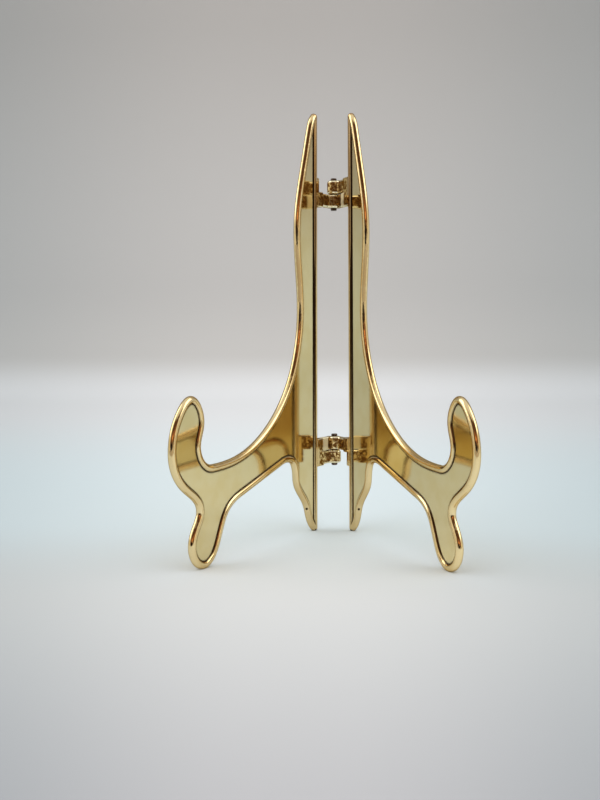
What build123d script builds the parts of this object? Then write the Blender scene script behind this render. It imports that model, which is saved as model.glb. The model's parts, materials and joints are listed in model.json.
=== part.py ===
from build123d import *
from math import cos, radians, sin
import os

# A folding cast-brass plate easel.
#
# Two mirror-image flat castings are hinged along their straight back edges by two steel pins.
# Opened, they form a V that gapes forwards: two back toes and two front feet stand on the table,
# and the two front hooks hold the lower rim of a plate that leans against the tall uprights.
# Folded, the inner faces of the castings lie against each other.
#
# Frame: +Z up, floor at z = 0, front of the easel towards -Y, +X to the right.
# The origin is on the floor, under the middle of the easel's bounding box.
#
# Each casting is drawn in its own directions. u runs forwards from the pin axis, v runs up
# along the pin axis, and w runs outwards from the fold plane, which holds the pin axis.

# ---- Driving dimensions (mm, degrees) ----

HALF_ANGLE = 27.0          # each casting swings this far out of the symmetry plane when open
LEAN = 0.3                 # the pin axis leans this far back from upright
RIM_RADIUS = 1.7           # full-round raised rim, which sets the casting's thickness
PANEL = 1.3                # thickness of the recessed panel inside the rim
FACE_GAP = 0.15            # each inner face stands this far off the fold plane
FOOT_FLAT = 0.3            # depth that is ground off under each foot

BACK_EDGE = 16.2           # u of the straight back rim's centre
APEX = (BACK_EDGE, 199.3)  # centre of the rim at the pointed top
TOE = (17.4, 1.0)          # centre of the rim at the back toe

PIN_RADIUS = 1.5
PIN_REACH = 1.2            # each pin end stands this far out of its knuckle
PIN_CHAMFER = 0.25
PIN_PLAY = 0.05            # radial clearance of the pins in the right casting's knuckles

UPPER_HINGE = 164.1        # v of the joint between the upper hinge's two knuckles
LOWER_HINGE = 37.9         # v of the joint between the lower hinge's two knuckles
KNUCKLE_RADIUS = 3.2
KNUCKLE_HEIGHT = 6.5
KNUCKLE_GAP = 0.3          # between the two knuckles on one pin
UPPER_SHOULDER = 7.4       # u at which the upper hinge's stop shoulder ends
LOWER_SHOULDER = 5.5       # u at which the lower hinge's stop shoulder ends
STOP_GAP = 0.1             # between a stop ear and its shoulder when fully open
ROOT_LENGTH = 4.8          # thickened stretch of a lug next to the back rim
ROOT_SWELL = 0.35          # how far that stretch stands above and below the knuckle
PAD_LENGTH = 1.0           # pad on the back rim from which both levels of a hinge grow
CAST_ROUNDING = 0.5        # edges of the cast blocks beside the knuckles
KNUCKLE_ROUNDING = 1.2     # upper and lower edges of a knuckle and its leaf
LEAF_ROUNDING = 1.2        # inner corner between a knuckle and its leaf

PIN_FOOT_Y = 55.95         # y of the pin axis at v = 0

# ---- Derived sizes and places ----

CASTING_MIDDLE = FACE_GAP + RIM_RADIUS
RIM_BACK = BACK_EDGE - RIM_RADIUS

# Ranges of w: the lugs lie within the casting's thickness, and the leaf is thinner still.
ROOT_DEPTH = (FACE_GAP + 0.1, CASTING_MIDDLE + RIM_RADIUS - 0.1)
LEAF_DEPTH = (FACE_GAP + 0.5, KNUCKLE_RADIUS)

# The leaning casting rests on its toe: this is how high the toe's centre is above the pin axis's foot.
TOE_RISE = (
    TOE[0] * cos(radians(HALF_ANGLE)) * sin(radians(LEAN))
    + TOE[1] * cos(radians(LEAN))
    - CASTING_MIDDLE * sin(radians(HALF_ANGLE)) * sin(radians(LEAN))
)
PIN_FOOT_Z = RIM_RADIUS - FOOT_FLAT - TOE_RISE

# Plane across the pins at v = 0: its z runs up the pin axis and its x to the right.
PIN_PLANE = Plane(
    origin=(0, PIN_FOOT_Y, PIN_FOOT_Z),
    x_dir=(1, 0, 0),
    z_dir=(0, sin(radians(LEAN)), cos(radians(LEAN))),
)
PIN_AXIS = Axis(PIN_PLANE.origin, PIN_PLANE.z_dir)

LEFT = -1
RIGHT = 1


def forward(side):
    """Direction of u for one casting, as it stands open."""
    return PIN_PLANE.x_dir * side * sin(radians(HALF_ANGLE)) - PIN_PLANE.y_dir * cos(radians(HALF_ANGLE))


def outward(side):
    """Direction of w for one casting, as it stands open."""
    return PIN_PLANE.x_dir * side * cos(radians(HALF_ANGLE)) + PIN_PLANE.y_dir * sin(radians(HALF_ANGLE))


def casting_plane(side, w):
    """Plane of one casting at depth w: its x is u and its y is v."""
    return Plane(PIN_PLANE.origin + outward(side) * w, x_dir=forward(side), z_dir=outward(side) * -side)


def section_plane(side, v):
    """Plane across the pins at level v: its x is u of the given casting and its y is side times w."""
    return Plane(PIN_PLANE.origin + PIN_PLANE.z_dir * v, x_dir=forward(side), z_dir=PIN_PLANE.z_dir)


def draw_front_outline(plane):
    """Centre line of the rim, drawn on a line builder's plane.

    It runs from the apex down the front of the upright, round the hook and the two feet, to the toe.
    """

    def heading(along_u, along_v):
        return plane.x_dir * along_u + plane.y_dir * along_v

    def smooth(*points, leaves, arrives):
        return Spline(*points, tangents=(leaves, arrives), tangent_scalars=(1, 1))

    upright = smooth(
        APEX, (20.1, 192.3), (24.8, 177), (31.8, 147.4), (29.3, 107.5), (36.5, 77.9), (57.6, 53.7), (81.6, 42.7),
        (102.4, 40.6),
        leaves=heading(0.8, -0.6), arrives=heading(1, 0),
    )
    throat = TangentArc(upright @ 1, (112.7, 49.5), tangent=upright % 1)
    hook = smooth(
        throat @ 1, (110.1, 61.5), (116.2, 70.3), (124.2, 64.7), (129.4, 49.3),
        leaves=throat % 1, arrives=heading(0, -1),
    )
    belly = smooth(hook @ 1, (122.6, 35.5), (110.9, 23.4), leaves=hook % 1, arrives=heading(0, -1))
    foot = smooth(
        belly @ 1, (114, 16.8), (116.9, 9.6), (115.2, 4), (109.4, 0.6), (103, 3.8), (98.9, 10.6),
        leaves=belly % 1, arrives=heading(-0.43, 0.9),
    )
    ankle = smooth(foot @ 1, (92.6, 21.6), (80.8, 27.4), leaves=foot % 1, arrives=heading(-0.967, 0.255))
    underside = Line(ankle @ 1, (47.5, 37.1))
    crotch = smooth(
        underside @ 1, (36.7, 35.6), (34.2, 27),
        leaves=underside % 1, arrives=heading(-0.1, -1),
    )
    smooth(crotch @ 1, (24.9, 13.6), (22.2, 6.8), TOE, leaves=crotch % 1, arrives=heading(-0.85, -0.53))


def plate_blank(side):
    """One flat casting without its hinge lugs: a full-round rim round a thinner recessed panel."""
    middle = casting_plane(side, CASTING_MIDDLE)
    with BuildPart() as blank:
        with BuildLine(middle) as front_rim:
            draw_front_outline(middle)
        with BuildSketch(Plane(front_rim.line @ 0, z_dir=front_rim.line % 0)):
            Circle(RIM_RADIUS)
        sweep(path=front_rim.wires()[0])
        with BuildLine(middle) as back_rim:
            Line(TOE, APEX)
        with BuildSketch(Plane(back_rim.line @ 0, z_dir=back_rim.line % 0)):
            Circle(RIM_RADIUS)
        sweep(path=back_rim.wires()[0])
        with Locations(back_rim.line @ 0, back_rim.line @ 1):
            Sphere(RIM_RADIUS)
        with BuildSketch(middle):
            with BuildLine():
                draw_front_outline(Plane.XY)
                Line(TOE, APEX)
            make_face()
        extrude(amount=PANEL / 2, both=True)
    return blank.part


def draw_bar(side, reach, depth):
    """Rectangle over a range of u and a range of w, drawn on a section plane of the same side."""
    middle = ((reach[0] + reach[1]) / 2, side * (depth[0] + depth[1]) / 2)
    with Locations(middle):
        Rectangle(reach[1] - reach[0], depth[1] - depth[0])


def cast_block(side, reach, levels, depth):
    """Cast block over ranges of u, v and w, with all its edges rounded."""
    with BuildPart() as block:
        with BuildSketch(section_plane(side, levels[0])):
            draw_bar(side, reach, depth)
        extrude(amount=levels[1] - levels[0])
        fillet(block.edges(), CAST_ROUNDING)
    return block.part


def knuckle(side, levels):
    """Round knuckle on the pin axis, with the leaf that carries it from the back rim."""
    with BuildPart() as lug:
        with BuildSketch(section_plane(side, levels[0])) as profile:
            Circle(KNUCKLE_RADIUS)
            draw_bar(side, (0, BACK_EDGE), LEAF_DEPTH)
            inner_corner = profile.vertices().filter_by(lambda corner: 0.1 < corner.X < KNUCKLE_RADIUS)
            fillet(inner_corner, LEAF_ROUNDING)
        extrude(amount=levels[1] - levels[0])
        fillet(lug.faces().filter_by(PIN_AXIS).edges(), KNUCKLE_ROUNDING)
    return lug.part


def stop_ear(side, levels, shoulder):
    """Ear on a knuckle that meets the other casting's shoulder when the easel is fully open."""
    return cast_block(-side, (0, shoulder - STOP_GAP), levels, LEAF_DEPTH)


def knuckle_levels(side, hinge):
    """Range of v of a casting's knuckle: the left casting has the lower one, the right the upper."""
    if side == LEFT:
        top = hinge - KNUCKLE_GAP / 2
        return (top - KNUCKLE_HEIGHT, top)
    bottom = hinge + KNUCKLE_GAP / 2
    return (bottom, bottom + KNUCKLE_HEIGHT)


def hinge_lug(side, hinge):
    """Knuckle, root and pad of one casting at one hinge."""
    levels = knuckle_levels(side, hinge)
    root_levels = (levels[0] - ROOT_SWELL, levels[1] + ROOT_SWELL)
    pad_levels = (knuckle_levels(LEFT, hinge)[0], knuckle_levels(RIGHT, hinge)[1])
    with BuildPart() as lug:
        add(knuckle(side, levels))
        add(cast_block(side, (RIM_BACK - ROOT_LENGTH, BACK_EDGE), root_levels, ROOT_DEPTH))
        add(cast_block(side, (RIM_BACK - PAD_LENGTH, BACK_EDGE), pad_levels, ROOT_DEPTH))
    return lug.part


def casting(side, shoulder_hinge, shoulder, ear_hinge, ear):
    """Whole casting, with its stop shoulder at one hinge and its stop ear at the other."""
    other = -side
    with BuildPart() as whole:
        add(plate_blank(side))
        add(hinge_lug(side, UPPER_HINGE))
        add(hinge_lug(side, LOWER_HINGE))
        add(cast_block(side, (shoulder, BACK_EDGE), knuckle_levels(other, shoulder_hinge), ROOT_DEPTH))
        add(stop_ear(side, knuckle_levels(side, ear_hinge), ear))
        split(bisect_by=Plane.XY, keep=Keep.TOP)
    return whole.part


def cut_bores(side, radius):
    """Bore both knuckles of the casting that is being built."""
    for hinge in (UPPER_HINGE, LOWER_HINGE):
        with Locations(section_plane(side, knuckle_levels(side, hinge)[1])):
            Hole(radius, depth=KNUCKLE_HEIGHT)


def draw_pin(hinge):
    """Pin through both knuckles of one hinge, in the part that is being built."""
    with Locations(PIN_PLANE.offset(hinge)):
        Cylinder(PIN_RADIUS, 2 * (KNUCKLE_HEIGHT + PIN_REACH) + KNUCKLE_GAP)


os.makedirs("parts", exist_ok=True)

# Left casting: it has the lower knuckle of each pair, and the pins are pressed into it.
with BuildPart() as left_frame:
    add(casting(LEFT, LOWER_HINGE, LOWER_SHOULDER, UPPER_HINGE, UPPER_SHOULDER))
    cut_bores(LEFT, PIN_RADIUS)
left_frame.part.label = "left_frame"
export_step(left_frame.part, "parts/left_frame.step")

# Right casting: it has the upper knuckle of each pair, and it turns on the pins.
with BuildPart() as right_frame:
    add(casting(RIGHT, UPPER_HINGE, UPPER_SHOULDER, LOWER_HINGE, LOWER_SHOULDER))
    cut_bores(RIGHT, PIN_RADIUS + PIN_PLAY)
right_frame.part.label = "right_frame"
export_step(right_frame.part, "parts/right_frame.step")

with BuildPart() as upper_hinge_pin:
    draw_pin(UPPER_HINGE)
    chamfer(upper_hinge_pin.edges().filter_by(GeomType.CIRCLE), PIN_CHAMFER)
upper_hinge_pin.part.label = "upper_hinge_pin"
export_step(upper_hinge_pin.part, "parts/upper_hinge_pin.step")

with BuildPart() as lower_hinge_pin:
    draw_pin(LOWER_HINGE)
    chamfer(lower_hinge_pin.edges().filter_by(GeomType.CIRCLE), PIN_CHAMFER)
lower_hinge_pin.part.label = "lower_hinge_pin"
export_step(lower_hinge_pin.part, "parts/lower_hinge_pin.step")
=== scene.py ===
import json
from math import cos, pi, radians, sin

import bmesh
import bpy
from mathutils import Matrix, Vector


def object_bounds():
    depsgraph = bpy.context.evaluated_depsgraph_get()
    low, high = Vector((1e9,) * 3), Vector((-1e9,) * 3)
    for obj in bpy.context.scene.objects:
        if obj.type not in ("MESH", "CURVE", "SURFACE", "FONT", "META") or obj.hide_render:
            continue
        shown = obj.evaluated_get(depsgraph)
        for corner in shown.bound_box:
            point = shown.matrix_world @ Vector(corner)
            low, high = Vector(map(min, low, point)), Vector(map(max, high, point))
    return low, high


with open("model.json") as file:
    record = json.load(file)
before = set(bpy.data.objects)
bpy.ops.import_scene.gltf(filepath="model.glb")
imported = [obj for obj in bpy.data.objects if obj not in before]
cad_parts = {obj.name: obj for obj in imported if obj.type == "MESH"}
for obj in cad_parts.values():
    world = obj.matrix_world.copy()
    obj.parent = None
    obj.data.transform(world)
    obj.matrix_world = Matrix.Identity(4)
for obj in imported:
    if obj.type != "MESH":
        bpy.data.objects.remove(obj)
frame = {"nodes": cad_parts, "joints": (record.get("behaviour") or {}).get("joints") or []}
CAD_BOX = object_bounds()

# A folding cast-brass plate easel on a pale studio sweep.
#
# The four CAD nodes are the whole object, and keep their shapes. This script gives them their
# materials and builds the studio round them. Lengths are in metres, except in the brass shader,
# which works in millimetres.

MM = 0.001


# ---- The castings' own directions, from the fold joint ----

FOLD = frame["joints"][0]
HALF_ANGLE = radians(FOLD["range_deg"][1]) / 2    # from the fold plane to each casting, when open
PIN_POINT = Vector(FOLD["pos_m"])
PIN_UP = -Vector(FOLD["axis"])
BACKWARDS = PIN_UP.cross(Vector((1, 0, 0)))


def forward(side):
    """Direction in which a casting runs from its hinge: side is -1 for the left, 1 for the right."""
    return Vector((side * sin(HALF_ANGLE), 0, 0)) - BACKWARDS * cos(HALF_ANGLE)


def outward(side):
    """Direction across a casting's thickness, away from the other casting."""
    return Vector((side * cos(HALF_ANGLE), 0, 0)) + BACKWARDS * sin(HALF_ANGLE)


# ---- Node trees ----

# Which sockets of the Mix node hold its two inputs and its result, for colours and for numbers.
MIX_SOCKETS = {"RGBA": (6, 7, 2), "FLOAT": (2, 3, 0)}
BEVEL_SAMPLES = 8
WHITE = (1.0, 1.0, 1.0)
BLACK = (0.0, 0.0, 0.0)


class Graph:
    """Adds nodes to one node tree. An input may be a number, a colour, a vector or another node's socket."""

    def __init__(self, tree):
        self.tree = tree
        tree.nodes.clear()

    def feed(self, socket, value):
        if isinstance(value, bpy.types.NodeSocket):
            self.tree.links.new(value, socket)
        elif socket.type == "RGBA":
            socket.default_value = (*value, 1.0)
        elif value is not None:
            socket.default_value = value

    def add(self, kind, **settings):
        node = self.tree.nodes.new(kind)
        for name, value in settings.items():
            setattr(node, name, value)
        return node

    def end(self, output_kind, surface):
        """Adds the tree's output node and shows a surface there."""
        self.feed(self.add(output_kind).inputs["Surface"], surface)

    def coordinates(self, kind):
        """The shaded point, its normal or the direction of view, by the name of the node's output."""
        return self.add("ShaderNodeTexCoord").outputs[kind]

    def math(self, operation, first, second=None):
        node = self.add("ShaderNodeMath", operation=operation)
        self.feed(node.inputs[0], first)
        self.feed(node.inputs[1], second)
        return node.outputs[0]

    def times_plus(self, value, factor, addend):
        return self.math("ADD", self.math("MULTIPLY", value, factor), addend)

    def both(self, first, second):
        """1 where both masks are 1."""
        return self.math("MULTIPLY", first, second)

    def either(self, first, second):
        """1 where either mask is 1."""
        return self.math("MAXIMUM", first, second)

    def vector(self, operation, first, second):
        node = self.add("ShaderNodeVectorMath", operation=operation)
        self.feed(node.inputs[0], first)
        self.feed(node.inputs[1], second)
        return node.outputs["Value" if operation == "DOT_PRODUCT" else "Vector"]

    def combine(self, x, y, z):
        node = self.add("ShaderNodeCombineXYZ")
        for socket, value in zip(node.inputs, (x, y, z)):
            self.feed(socket, value)
        return node.outputs[0]

    def parts(self, vector):
        node = self.add("ShaderNodeSeparateXYZ")
        self.feed(node.inputs[0], vector)
        return list(node.outputs)

    def facing(self, direction):
        """1 where the surface faces along a direction, either way, and 0 where it is edge on."""
        return self.math("ABSOLUTE", self.vector("DOT_PRODUCT", self.coordinates("Normal"), tuple(direction)))

    def rise(self, value, start, end):
        """0 up to start, 1 from end on, and smooth between them. End may be the lower of the two."""
        node = self.add("ShaderNodeMapRange", interpolation_type="SMOOTHSTEP")
        self.feed(node.inputs["Value"], value)
        node.inputs["From Min"].default_value = min(start, end)
        node.inputs["From Max"].default_value = max(start, end)
        node.inputs["To Min"].default_value = 0.0 if start < end else 1.0
        node.inputs["To Max"].default_value = 1.0 if start < end else 0.0
        return node.outputs["Result"]

    def band(self, value, limits, soft):
        """1 between two limits and 0 outside them, smooth for a stretch of soft on each side of both."""
        low, high = limits
        return self.both(self.rise(value, low - soft, low + soft), self.rise(value, high + soft, high - soft))

    def blended(self, kind, factor, first, second):
        node = self.add("ShaderNodeMix", data_type=kind)
        first_input, second_input, output = MIX_SOCKETS[kind]
        self.feed(node.inputs[0], factor)
        self.feed(node.inputs[first_input], first)
        self.feed(node.inputs[second_input], second)
        return node.outputs[output]

    def mix(self, factor, first, second):
        """Blend of two colours."""
        return self.blended("RGBA", factor, first, second)

    def blend(self, factor, first, second):
        """Blend of two numbers."""
        return self.blended("FLOAT", factor, first, second)

    def fade(self, value, tone, *later):
        """One tone after another: each later one comes with the two values between which it takes over."""
        for next_tone, start, end in later:
            tone = self.mix(self.rise(value, start, end), tone, next_tone)
        return tone

    def cover(self, mask, under, over):
        """Lays one look (colour, roughness, height) over another where the mask is 1."""
        colours, roughnesses, heights = zip(under, over)
        return self.mix(mask, *colours), self.blend(mask, *roughnesses), self.blend(mask, *heights)

    def noise(self, place, scale, detail=2.0, roughness=0.5):
        node = self.add("ShaderNodeTexNoise")
        self.feed(node.inputs["Vector"], place)
        node.inputs["Scale"].default_value = scale
        node.inputs["Detail"].default_value = detail
        node.inputs["Roughness"].default_value = roughness
        return node.outputs["Fac"]

    def corner_turn(self, reach):
        """How far the surface turns within reach of a point: 0 where it is flat."""
        rounded = self.add("ShaderNodeBevel", samples=BEVEL_SAMPLES)
        rounded.inputs["Radius"].default_value = reach
        true_normal = self.add("ShaderNodeNewGeometry").outputs["Normal"]
        return self.math("SUBTRACT", 1.0, self.vector("DOT_PRODUCT", rounded.outputs[0], true_normal))

    def bump(self, height, strength, distance):
        node = self.add("ShaderNodeBump")
        node.inputs["Strength"].default_value = strength
        node.inputs["Distance"].default_value = distance
        self.feed(node.inputs["Height"], height)
        return node.outputs[0]

    def metal(self, colour, roughness, normal, edge_tint=WHITE):
        """Ends a metal's tree. The edge tint is what a glancing view multiplies the colour by."""
        surface = self.add("ShaderNodeBsdfPrincipled")
        self.feed(surface.inputs["Metallic"], 1.0)
        self.feed(surface.inputs["Base Color"], colour)
        self.feed(surface.inputs["Specular Tint"], edge_tint)
        self.feed(surface.inputs["Roughness"], roughness)
        self.feed(surface.inputs["Normal"], normal)
        self.end("ShaderNodeOutputMaterial", surface.outputs[0])


def new_material(name):
    material = bpy.data.materials.new(name)
    material.use_nodes = True
    return material, Graph(material.node_tree)


def give(node_name, material):
    """Makes this the only material of a CAD node."""
    mesh = frame["nodes"][node_name].data
    mesh.materials.clear()
    mesh.materials.append(material)


# ---- Brass ----

RIM_BRASS = (0.87, 0.69, 0.40)
WARM_RIM_BRASS = (0.82, 0.62, 0.33)
RIM_EDGE_TINT = (0.50, 0.38, 0.22)
BACK_RIM_BROWN = (0.42, 0.24, 0.13)
PANEL_BRASS = (0.785, 0.65, 0.37)
WARM_PANEL_BRASS = (0.76, 0.61, 0.32)
LUG_BRASS = (0.98, 0.75, 0.37)
# Pale cream of a painted highlight on the lugs' rounded edges and stop shoulders.
LUG_HIGHLIGHT = (1.0, 0.92, 0.68)
LUG_HOLLOW = (0.22, 0.105, 0.03)
# Near black brown of the dark marks: pits, patina round the panel, the dark band on the back rim's slope and
# the toe's nick.
DARK_MARK = (0.030, 0.016, 0.008)

# Each pair is the value where a look's noise, or a lug's smoothness, is 0 and the value where it is 1.
RIM_ROUGHNESS = (0.05, 0.13)
PANEL_ROUGHNESS = (0.03, 0.10)
LUG_ROUGHNESS = (0.42, 0.20)
LUG_HEIGHT = (1.6, 0.3)
DARK_MARK_ROUGHNESS = 0.50
SHOULDER_ROUGHNESS = 0.60
PIT_HEIGHT = -0.6
DRAWN_HEIGHT = 0.05
BRASS_RELIEF = 0.12 * MM         # what a height of 1 is
BRASS_BUMP = 0.35

# Shares of a colour that lies over another.
BROWN_SHARE = 0.5
PIT_SHARE = 0.7

# Places on a casting are in mm: forward from the pin axis, up from the pins' middle, and across
# from the fold plane. Depth is across from the middle of the casting's thickness.
CASTING_MIDDLE = 1.85            # across
TOE_NICK = (25.8, -89.6, 1.0)    # a small casting flaw on the toe's rim
SHOULDER_LEVEL = (55.8, 63.2)    # up on the right casting, down on the left
SHOULDER_SOFT = 0.2

# Each pair says where a mask is 0 and where it is 1, in mm.
PANEL_DEPTH = (0.80, 0.70)       # the recessed panel, whose face is 0.65 deep
LUG_FORWARD = (14.7, 14.2)       # the hinge lugs, up to where the back rim begins
BACK_RIM_FORWARD = (18.2, 17.7)  # the back rim, up to its foot
BROWN_HEIGHT = (10, 50)          # the back rim turns brown and its dark slope narrower
SLOPE_START = (16.3, 16.8)       # the back rim's front slope, from the rim's crown
SLOPE_END = (18.5, 18.2)         # to its foot
SLOPE_DEPTH = (1.58, 1.42)
SLOPE_TOP = (92, 88)             # the slope ends where the rim turns over the apex
CORNER_DEPTH = (1.50, 1.15)      # the corner round the panel, not the rim's crown
SHOULDER_FORWARD = (11.5, 10.5)  # the smooth part of a stop shoulder
NICK_SQUARE = (0.8, 0.2)         # square of the distance from the nick's middle, in mm2

# The same for how squarely the surface faces out of the casting or upwards, and for noises.
PANEL_FACING = (0.90, 0.97)
LUG_EDGE_START = (0.12, 0.40)    # a lug's rounded edge, from its upright faces
LUG_EDGE_END = (0.98, 0.90)      # to its flat ends
LUG_BARE = (0.46, 0.60)          # metal rubbed bare between a lug's hollows
WARM_STRETCH = (0.40, 0.65)
PIT = (0.66, 0.72)
CLOUD = (0.35, 0.70)

CORNER_REACH = 1.4 * MM          # how far round a point the shader looks for a corner
CORNER_TURN = (0.0, 0.009)       # from no turning of the surface within that reach to a corner's
CORNER_WANDER = 0.010            # the most turning that the line's unevenness leaves out
SLOPE_NARROWING = 0.40           # mm that the dark slope loses in depth high up
DRAWN_STRETCH = (6.0, 0.25, 6.0)  # makes a noise long and narrow, upright on the panel


def casting_place(graph, side):
    """The shaded point in mm: forward from the pin axis, up from the pins' middle, across."""
    from_pin = graph.vector("SUBTRACT", graph.coordinates("Object"), tuple(PIN_POINT))
    in_mm = graph.vector("MULTIPLY", from_pin, (1 / MM,) * 3)
    directions = (forward(side), PIN_UP, outward(side))
    return graph.combine(*[graph.vector("DOT_PRODUCT", in_mm, tuple(direction)) for direction in directions])


def panel_mask(graph, side, depth):
    """1 on the recessed panel, which is flat and close to the casting's middle."""
    return graph.both(graph.rise(depth, *PANEL_DEPTH), graph.rise(graph.facing(outward(side)), *PANEL_FACING))


def corner_mask(graph, place, depth):
    """1 in the corner between the panel and the rim, as a line of uneven width."""
    wander = graph.math("MULTIPLY", graph.noise(place, scale=0.35, detail=4.0, roughness=0.7), CORNER_WANDER)
    turned = graph.math("SUBTRACT", graph.corner_turn(CORNER_REACH), wander)
    return graph.both(graph.rise(turned, *CORNER_TURN), graph.rise(depth, *CORNER_DEPTH))


def slope_mask(graph, place, depth):
    """1 on the back rim's front slope, narrower high up."""
    along, up, _ = graph.parts(place)
    lost = graph.math("MULTIPLY", graph.rise(up, *BROWN_HEIGHT), SLOPE_NARROWING)
    slope = graph.both(graph.rise(along, *SLOPE_START), graph.rise(along, *SLOPE_END))
    slope = graph.both(slope, graph.rise(graph.math("ADD", depth, lost), *SLOPE_DEPTH))
    return graph.both(slope, graph.rise(up, *SLOPE_TOP))


def dark_marks_mask(graph, place, depth):
    """1 on the dark marks: patina round the panel where the polish never reached, a dark band on the back
    rim's slope and the toe's nick.
    """
    from_nick = graph.vector("SUBTRACT", place, TOE_NICK)
    nick = graph.rise(graph.vector("DOT_PRODUCT", from_nick, from_nick), *NICK_SQUARE)
    lines = graph.either(corner_mask(graph, place, depth), slope_mask(graph, place, depth))
    return graph.either(lines, nick)


def rim_look(graph, place):
    """Bright polish with small pits and a few warmer stretches, and brown high up on the back rim."""
    along, up, _ = graph.parts(place)
    warm = graph.rise(graph.noise(place, scale=0.07), *WARM_STRETCH)
    brown = graph.both(graph.rise(along, *BACK_RIM_FORWARD), graph.rise(up, *BROWN_HEIGHT))
    pits = graph.rise(graph.noise(place, scale=1.7, detail=4.0, roughness=0.7), *PIT)
    tone = graph.mix(warm, RIM_BRASS, WARM_RIM_BRASS)
    tone = graph.mix(graph.math("MULTIPLY", brown, BROWN_SHARE), tone, BACK_RIM_BROWN)
    tone = graph.mix(graph.math("MULTIPLY", pits, PIT_SHARE), tone, DARK_MARK)
    roughness = graph.blend(graph.noise(place, scale=0.8, detail=3.0), *RIM_ROUGHNESS)
    return tone, roughness, graph.math("MULTIPLY", pits, PIT_HEIGHT)


def panel_look(graph, place):
    """Fine upright drawing marks and faint clouds."""
    stretched = graph.vector("MULTIPLY", place, DRAWN_STRETCH)
    drawn = graph.noise(stretched, scale=1.0, detail=4.0, roughness=0.6)
    clouds = graph.rise(graph.noise(place, scale=0.12, detail=3.0), *CLOUD)
    tone = graph.mix(clouds, PANEL_BRASS, WARM_PANEL_BRASS)
    return tone, graph.blend(drawn, *PANEL_ROUGHNESS), graph.math("MULTIPLY", drawn, DRAWN_HEIGHT)


def shoulder_mask(graph, side, place):
    """1 on the stop shoulder, which carries a painted highlight and is at the upper hinge on the right
    casting and the lower on the left.
    """
    along, up, _ = graph.parts(place)
    level = graph.band(graph.math("MULTIPLY", up, side), SHOULDER_LEVEL, SHOULDER_SOFT)
    return graph.both(level, graph.rise(along, *SHOULDER_FORWARD))


def lug_look(graph, side, place):
    """As cast: rough and dull in the hollows, rubbed smooth along its upper and lower edges, with a painted
    highlight on those edges and on the stop shoulder.
    """
    upright = graph.facing(PIN_UP)
    edge = graph.both(graph.rise(upright, *LUG_EDGE_START), graph.rise(upright, *LUG_EDGE_END))
    shoulder = shoulder_mask(graph, side, place)
    smooth = graph.either(edge, shoulder)
    grain = graph.noise(place, scale=0.7, detail=6.0, roughness=0.6)
    bare = graph.rise(grain, *LUG_BARE)
    # The smooth edges and the stop shoulder get the cream of a painted highlight.
    tone = graph.mix(smooth, graph.mix(bare, LUG_HOLLOW, LUG_BRASS), LUG_HIGHLIGHT)
    roughness = graph.blend(graph.either(bare, smooth), *LUG_ROUGHNESS)
    roughness = graph.blend(shoulder, roughness, SHOULDER_ROUGHNESS)
    return tone, roughness, graph.math("MULTIPLY", grain, graph.blend(smooth, *LUG_HEIGHT))


def cast_brass(name, side):
    """Polished brass with a dark line round the recess, a finely drawn panel and rough cast lugs."""
    material, graph = new_material(name)
    place = casting_place(graph, side)
    along, _, across = graph.parts(place)
    depth = graph.math("ABSOLUTE", graph.math("SUBTRACT", across, CASTING_MIDDLE))
    panel = panel_mask(graph, side, depth)
    lug = graph.rise(along, *LUG_FORWARD)

    look = graph.cover(panel, rim_look(graph, place), panel_look(graph, place))
    look = graph.cover(dark_marks_mask(graph, place, depth), look, (DARK_MARK, DARK_MARK_ROUGHNESS, 0.0))
    look = graph.cover(lug, look, lug_look(graph, side, place))
    colour, roughness, height = look
    edge_tint = graph.mix(panel, RIM_EDGE_TINT, WHITE)
    graph.metal(colour, roughness, graph.bump(height, BRASS_BUMP, BRASS_RELIEF), edge_tint)
    return material


# ---- Steel ----

OXIDE = (0.055, 0.035, 0.026)
RUBBED_STEEL = (0.20, 0.15, 0.12)
STEEL_RUBBED = (0.40, 0.68)      # noise at which the rubbing starts and is full
STEEL_ROUGHNESS = (0.48, 0.26)
STEEL_RELIEF = 0.08 * MM
STEEL_BUMP = 0.3


def dark_steel(name):
    """Oxidised steel rod, nearly black, rubbed lighter in places."""
    material, graph = new_material(name)
    place = graph.vector("MULTIPLY", graph.coordinates("Object"), (1 / MM,) * 3)
    mottle = graph.noise(place, scale=1.2, detail=5.0, roughness=0.65)
    colour = graph.mix(graph.rise(mottle, *STEEL_RUBBED), OXIDE, RUBBED_STEEL)
    roughness = graph.blend(mottle, *STEEL_ROUGHNESS)
    graph.metal(colour, roughness, graph.bump(mottle, STEEL_BUMP, STEEL_RELIEF))
    return material


give("left_frame", cast_brass("cast_brass_left", -1))
give("right_frame", cast_brass("cast_brass_right", 1))
pin_material = dark_steel("dark_pin_steel")
give("upper_hinge_pin", pin_material)
give("lower_hinge_pin", pin_material)


# ---- Studio sweep: a flat floor that curves up into a wall behind the easel ----

FLOOR_FRONT = -3.0
FLOOR_BACK = 0.80
SWEEP_RADIUS = 0.60
WALL_TOP = 2.6
SWEEP_HALF_WIDTH = 3.0
SWEEP_STEPS = 32


def sweep_profile():
    """Points (y, z) along the middle of the sweep, from the front of the floor to the top of the wall."""
    points = [(FLOOR_FRONT, 0.0), (FLOOR_BACK, 0.0)]
    for step in range(1, SWEEP_STEPS + 1):
        turn = pi / 2 * step / SWEEP_STEPS
        points.append((FLOOR_BACK + SWEEP_RADIUS * sin(turn), SWEEP_RADIUS * (1 - cos(turn))))
    points.append((FLOOR_BACK + SWEEP_RADIUS, WALL_TOP))
    return points


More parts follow.
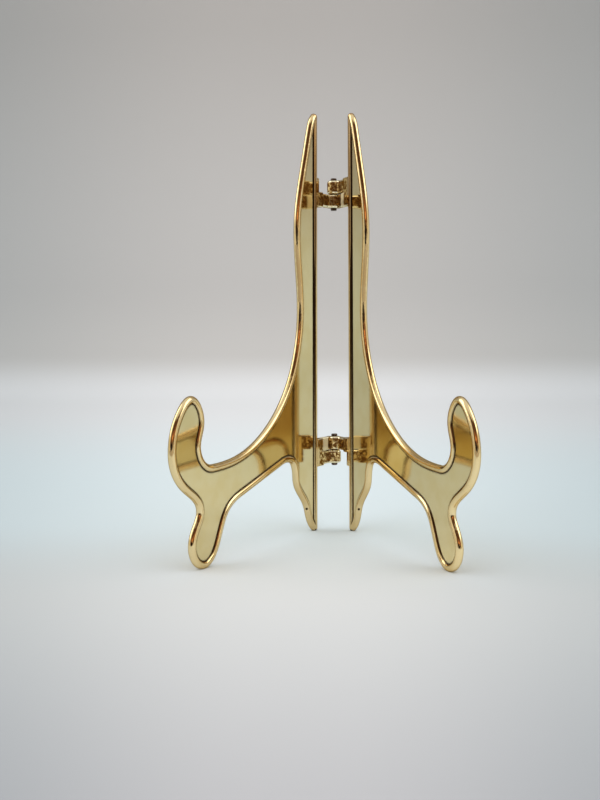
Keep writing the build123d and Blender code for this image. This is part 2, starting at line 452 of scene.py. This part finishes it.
def build_sweep():
    mesh = bpy.data.meshes.new("studio_sweep")
    shape = bmesh.new()
    rows = []
    for y, z in sweep_profile():
        rows.append([shape.verts.new((x, y, z)) for x in (-SWEEP_HALF_WIDTH, SWEEP_HALF_WIDTH)])
    for low, high in zip(rows, rows[1:]):
        shape.faces.new((low[0], low[1], high[1], high[0])).smooth = True
    shape.to_mesh(mesh)
    shape.free()
    sweep = bpy.data.objects.new("studio_sweep", mesh)
    bpy.context.scene.collection.objects.link(sweep)
    return sweep


# The pool of light on the paper and the shade round it and up the wall are painted into its colour here; the
# even light leaves the paper evenly lit.
# The paper's tones as the camera sees them. Each later tone comes with the two distances in metres,
# back from the middle of the easel or up from the floor, between which it takes over.
FLOOR_NEAR = (0.46, 0.455, 0.475)
FLOOR_BACKWARDS = (
    ((0.695, 0.705, 0.70), -0.36, -0.06),    # round the feet
    ((0.735, 0.82, 0.845), -0.10, 0.06),     # behind the easel
    ((0.80, 0.81, 0.82), 0.15, 0.70),        # towards the wall
)
WALL_FOOT = (0.575, 0.56, 0.54)
WALL_UPWARDS = (
    ((0.495, 0.48, 0.465), 0.0, 0.16),
    ((0.455, 0.428, 0.405), 0.15, 0.75),
)
WALL_START = (0.0, 0.05)         # up, where the wall's tone takes over from the floor's
NEAR_START = (-0.32, -0.50)      # forwards, where the pool of light ends

# The pool of light lies along the main camera's line of sight, x = slope * y + start, and widens
# away from the camera. Its edge fades between two shares of its half width.
SIGHT_SLOPE = -0.08
SIGHT_START = -0.017
POOL_WIDENING = 0.28
POOL_HALF_WIDTH = 0.14
POOL_LEAST = 0.06
POOL_FADE = (0.1, 1.3)
POOL_SHADE = (0.02, 0.09, 0.12)
POOL_SHADE_SHARE = 0.28

# The same paper as the polished brass mirrors it, from low down and from the sides: painted light and shade
# that only reflections show.
MIRRORED_NEAR = (0.79, 0.84, 0.81)
MIRRORED_BACKWARDS = ((0.63, 0.68, 0.64), -0.05, 0.20)
MIRRORED_UPWARDS = ((0.43, 0.42, 0.40), 0.05, 0.60)
MIRRORED_FORWARDS = ((0.46, 0.41, 0.33), -0.25, -0.45)
MIRRORED_LEFT = (0.10, -0.12)    # to the left, where the dimming starts and is full
LEFT_DIMMING = 0.16


def pool_edge(graph, x, y):
    """0 in the middle of the pool of light and 1 outside it."""
    sight = graph.times_plus(y, SIGHT_SLOPE, SIGHT_START)
    off_sight = graph.math("ABSOLUTE", graph.math("SUBTRACT", x, sight))
    half_width = graph.math("MAXIMUM", graph.times_plus(y, POOL_WIDENING, POOL_HALF_WIDTH), POOL_LEAST)
    return graph.rise(graph.math("DIVIDE", off_sight, half_width), *POOL_FADE)


def seen_paper(graph, x, y, z):
    """Painted light and shade: brightest behind the easel, fading up the wall and to both sides of the
    camera's line of sight.
    """
    floor = graph.fade(y, FLOOR_NEAR, *FLOOR_BACKWARDS)
    wall = graph.fade(z, WALL_FOOT, *WALL_UPWARDS)
    tone = graph.mix(graph.rise(z, *WALL_START), floor, wall)
    shade = graph.math("MULTIPLY", pool_edge(graph, x, y), POOL_SHADE_SHARE)
    tone = graph.mix(shade, tone, POOL_SHADE)
    return graph.mix(graph.rise(y, *NEAR_START), tone, FLOOR_NEAR)


def mirrored_paper(graph, x, y, z):
    """Painted light and shade for reflections: brightest under the easel, warmer in front of it and a little
    dimmer on the left.
    """
    tone = graph.fade(y, MIRRORED_NEAR, MIRRORED_BACKWARDS)
    tone = graph.fade(z, tone, MIRRORED_UPWARDS)
    tone = graph.fade(y, tone, MIRRORED_FORWARDS)
    dimming = graph.math("MULTIPLY", graph.rise(x, *MIRRORED_LEFT), LEFT_DIMMING)
    return graph.mix(dimming, tone, BLACK)


def sweep_paper():
    """White paper with its pool of light and shade painted into its colour, and painted tones for what the
    brass mirrors.
    """
    material, graph = new_material("sweep_paper")
    place = graph.parts(graph.coordinates("Object"))
    path = graph.add("ShaderNodeLightPath")
    # Glossy rays from the brass see the painted reflection tones, all other rays the painted pool of light.
    tone = graph.mix(path.outputs["Is Glossy Ray"], seen_paper(graph, *place), mirrored_paper(graph, *place))
    paper = graph.add("ShaderNodeBsdfDiffuse")
    graph.feed(paper.inputs["Color"], tone)
    graph.end("ShaderNodeOutputMaterial", paper.outputs[0])
    return material


sweep = build_sweep()
sweep.data.materials.append(sweep_paper())


# ---- World: even light for the paper, and for the brass the studio's lamps and dark openings ----

EVEN_LIGHT = (1.27, 1.27, 1.27)
BEYOND_PAPER = (0.62, 0.62, 0.61)
SIDE_WALLS = (0.60, 0.63, 0.66)
CAMERA_SIDE = (0.74, 0.69, 0.55)
CEILING = (0.80, 0.78, 0.74)
ROOM_SHADE = (0.095, 0.042, 0.018)
PHOTOGRAPHER = (0.010, 0.006, 0.005)
WARM_WOOD = (0.32, 0.125, 0.045)
WARM_LAMP = (0.95, 0.42, 0.16)
SMALL_WINDOW = (1.5, 1.15, 0.65)
SOFTBOX = (2.6, 2.5, 2.2)

# Each comes with the two angles in degrees between which it takes over: the camera's side by how far
# to either side of straight ahead, the ceiling by how high above the horizon.
CAMERA_SIDE_TO = (CAMERA_SIDE, 110, 75)
CEILING_FROM = (CEILING, 50, 70)

# Each patch of the surroundings: its colour, its range of azimuth from straight ahead of the easel
# (positive to the right), its range of elevation and the softness of its edge, in degrees.
PATCHES = (
    (ROOM_SHADE, (-48, 52), (3, 52), 5),
    (PHOTOGRAPHER, (-32, 20), (-3, 15), 3),
    (WARM_WOOD, (-28, 50), (14, 29), 5),
    (WARM_LAMP, (-14, 14), (17, 22), 3),
    (SMALL_WINDOW, (14, 19), (9, 13), 2),
    (SMALL_WINDOW, (54, 66), (7, 12), 3),
    (SOFTBOX, (66, 112), (24, 60), 4),
    (SOFTBOX, (-110, -76), (14, 62), 4),
)


def surroundings(graph):
    """What the polished brass mirrors beyond the paper."""
    x, y, z = graph.parts(graph.coordinates("Generated"))
    azimuth = graph.math("DEGREES", graph.math("ARCTAN2", x, graph.math("MULTIPLY", y, -1.0)))
    elevation = graph.math("DEGREES", graph.math("ARCSINE", z))
    view = graph.fade(graph.math("ABSOLUTE", azimuth), SIDE_WALLS, CAMERA_SIDE_TO)
    view = graph.fade(elevation, view, CEILING_FROM)
    for colour, across, high, soft in PATCHES:
        patch = graph.both(graph.band(azimuth, across, soft), graph.band(elevation, high, soft))
        view = graph.mix(patch, view, colour)
    return view


def studio_world():
    world = bpy.data.worlds.new("studio")
    world.use_nodes = True
    bpy.context.scene.world = world
    graph = Graph(world.node_tree)
    path = graph.add("ShaderNodeLightPath")
    seen = graph.mix(path.outputs["Is Glossy Ray"], EVEN_LIGHT, surroundings(graph))
    seen = graph.mix(path.outputs["Is Camera Ray"], seen, BEYOND_PAPER)
    light = graph.add("ShaderNodeBackground")
    graph.feed(light.inputs["Color"], seen)
    graph.end("ShaderNodeOutputWorld", light.outputs[0])


studio_world()
bpy.context.scene.view_settings.view_transform = "Standard"


# ---- Camera, level with the middle of the easel and a little to its right ----

CAMERA_OFFSET = Vector((0.0217, -0.4846, 0.0058))  # from the middle of the easel's box
LOOK_AZIMUTH = radians(4.11)
LOOK_DOWN = radians(4.59)
CAMERA_ROLL = radians(-0.32)
LENS_MM = 48.87


def add_camera():
    data = bpy.data.cameras.new("camera")
    data.lens = LENS_MM
    camera = bpy.data.objects.new("camera", data)
    bpy.context.scene.collection.objects.link(camera)
    ahead = cos(LOOK_DOWN)
    look = Vector((-sin(LOOK_AZIMUTH) * ahead, cos(LOOK_AZIMUTH) * ahead, -sin(LOOK_DOWN)))
    level = look.to_track_quat("-Z", "Y")
    camera.rotation_mode = "QUATERNION"
    camera.rotation_quaternion = level @ Matrix.Rotation(CAMERA_ROLL, 3, "Z").to_quaternion()
    camera.location = (CAD_BOX[0] + CAD_BOX[1]) / 2 + CAMERA_OFFSET
    bpy.context.scene.camera = camera


add_camera()
